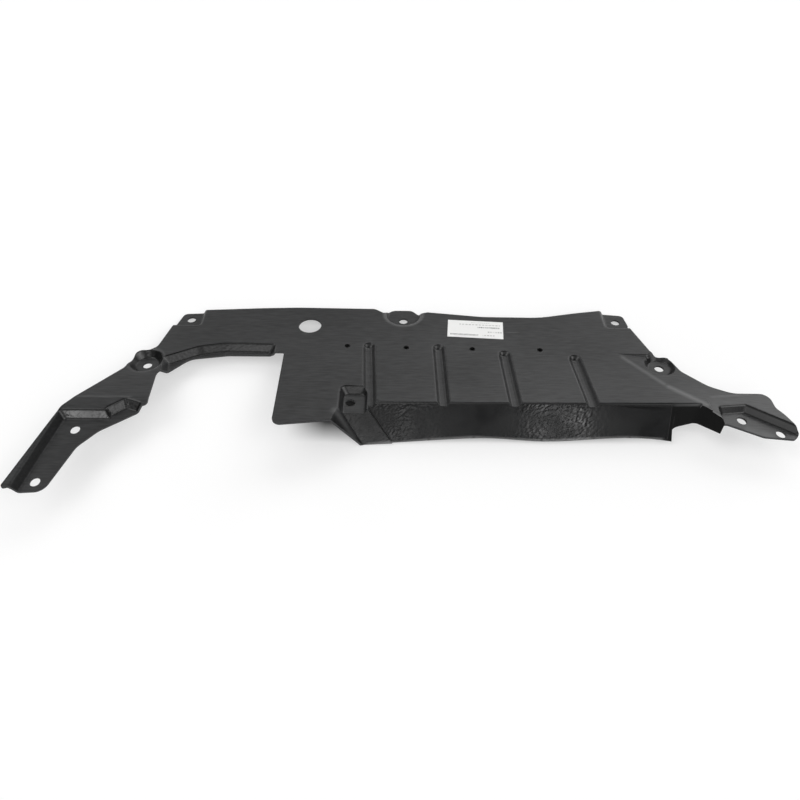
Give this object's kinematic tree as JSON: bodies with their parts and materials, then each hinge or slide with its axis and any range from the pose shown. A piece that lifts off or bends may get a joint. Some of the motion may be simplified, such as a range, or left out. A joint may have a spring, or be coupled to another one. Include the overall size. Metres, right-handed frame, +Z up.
{
  "type": "engine splash shield",
  "caption": "Wide thermoformed black plastic engine undertray with a stiffening-grooved deck, a bent front apron, bolt tabs, dished bolt seats and a side arm beside a cut-out",
  "frame": {"origin": "centre of the bounding box in plan, at the ground that the shield rests on", "axes": "+X along the bumper to the right end, +Y towards the rear tabs, +Z up"},
  "size_m": [0.9344, 0.3134, 0.0541],
  "materials": {
    "black_plastic": "black thermoformed polyethylene with a fine grain",
    "label_paper": "uncoated white paper with plain grey bars"
  },
  "bodies": {
    "root": {"splash_shield": "black_plastic", "paper_label": "label_paper"}
  },
  "joints": []
}
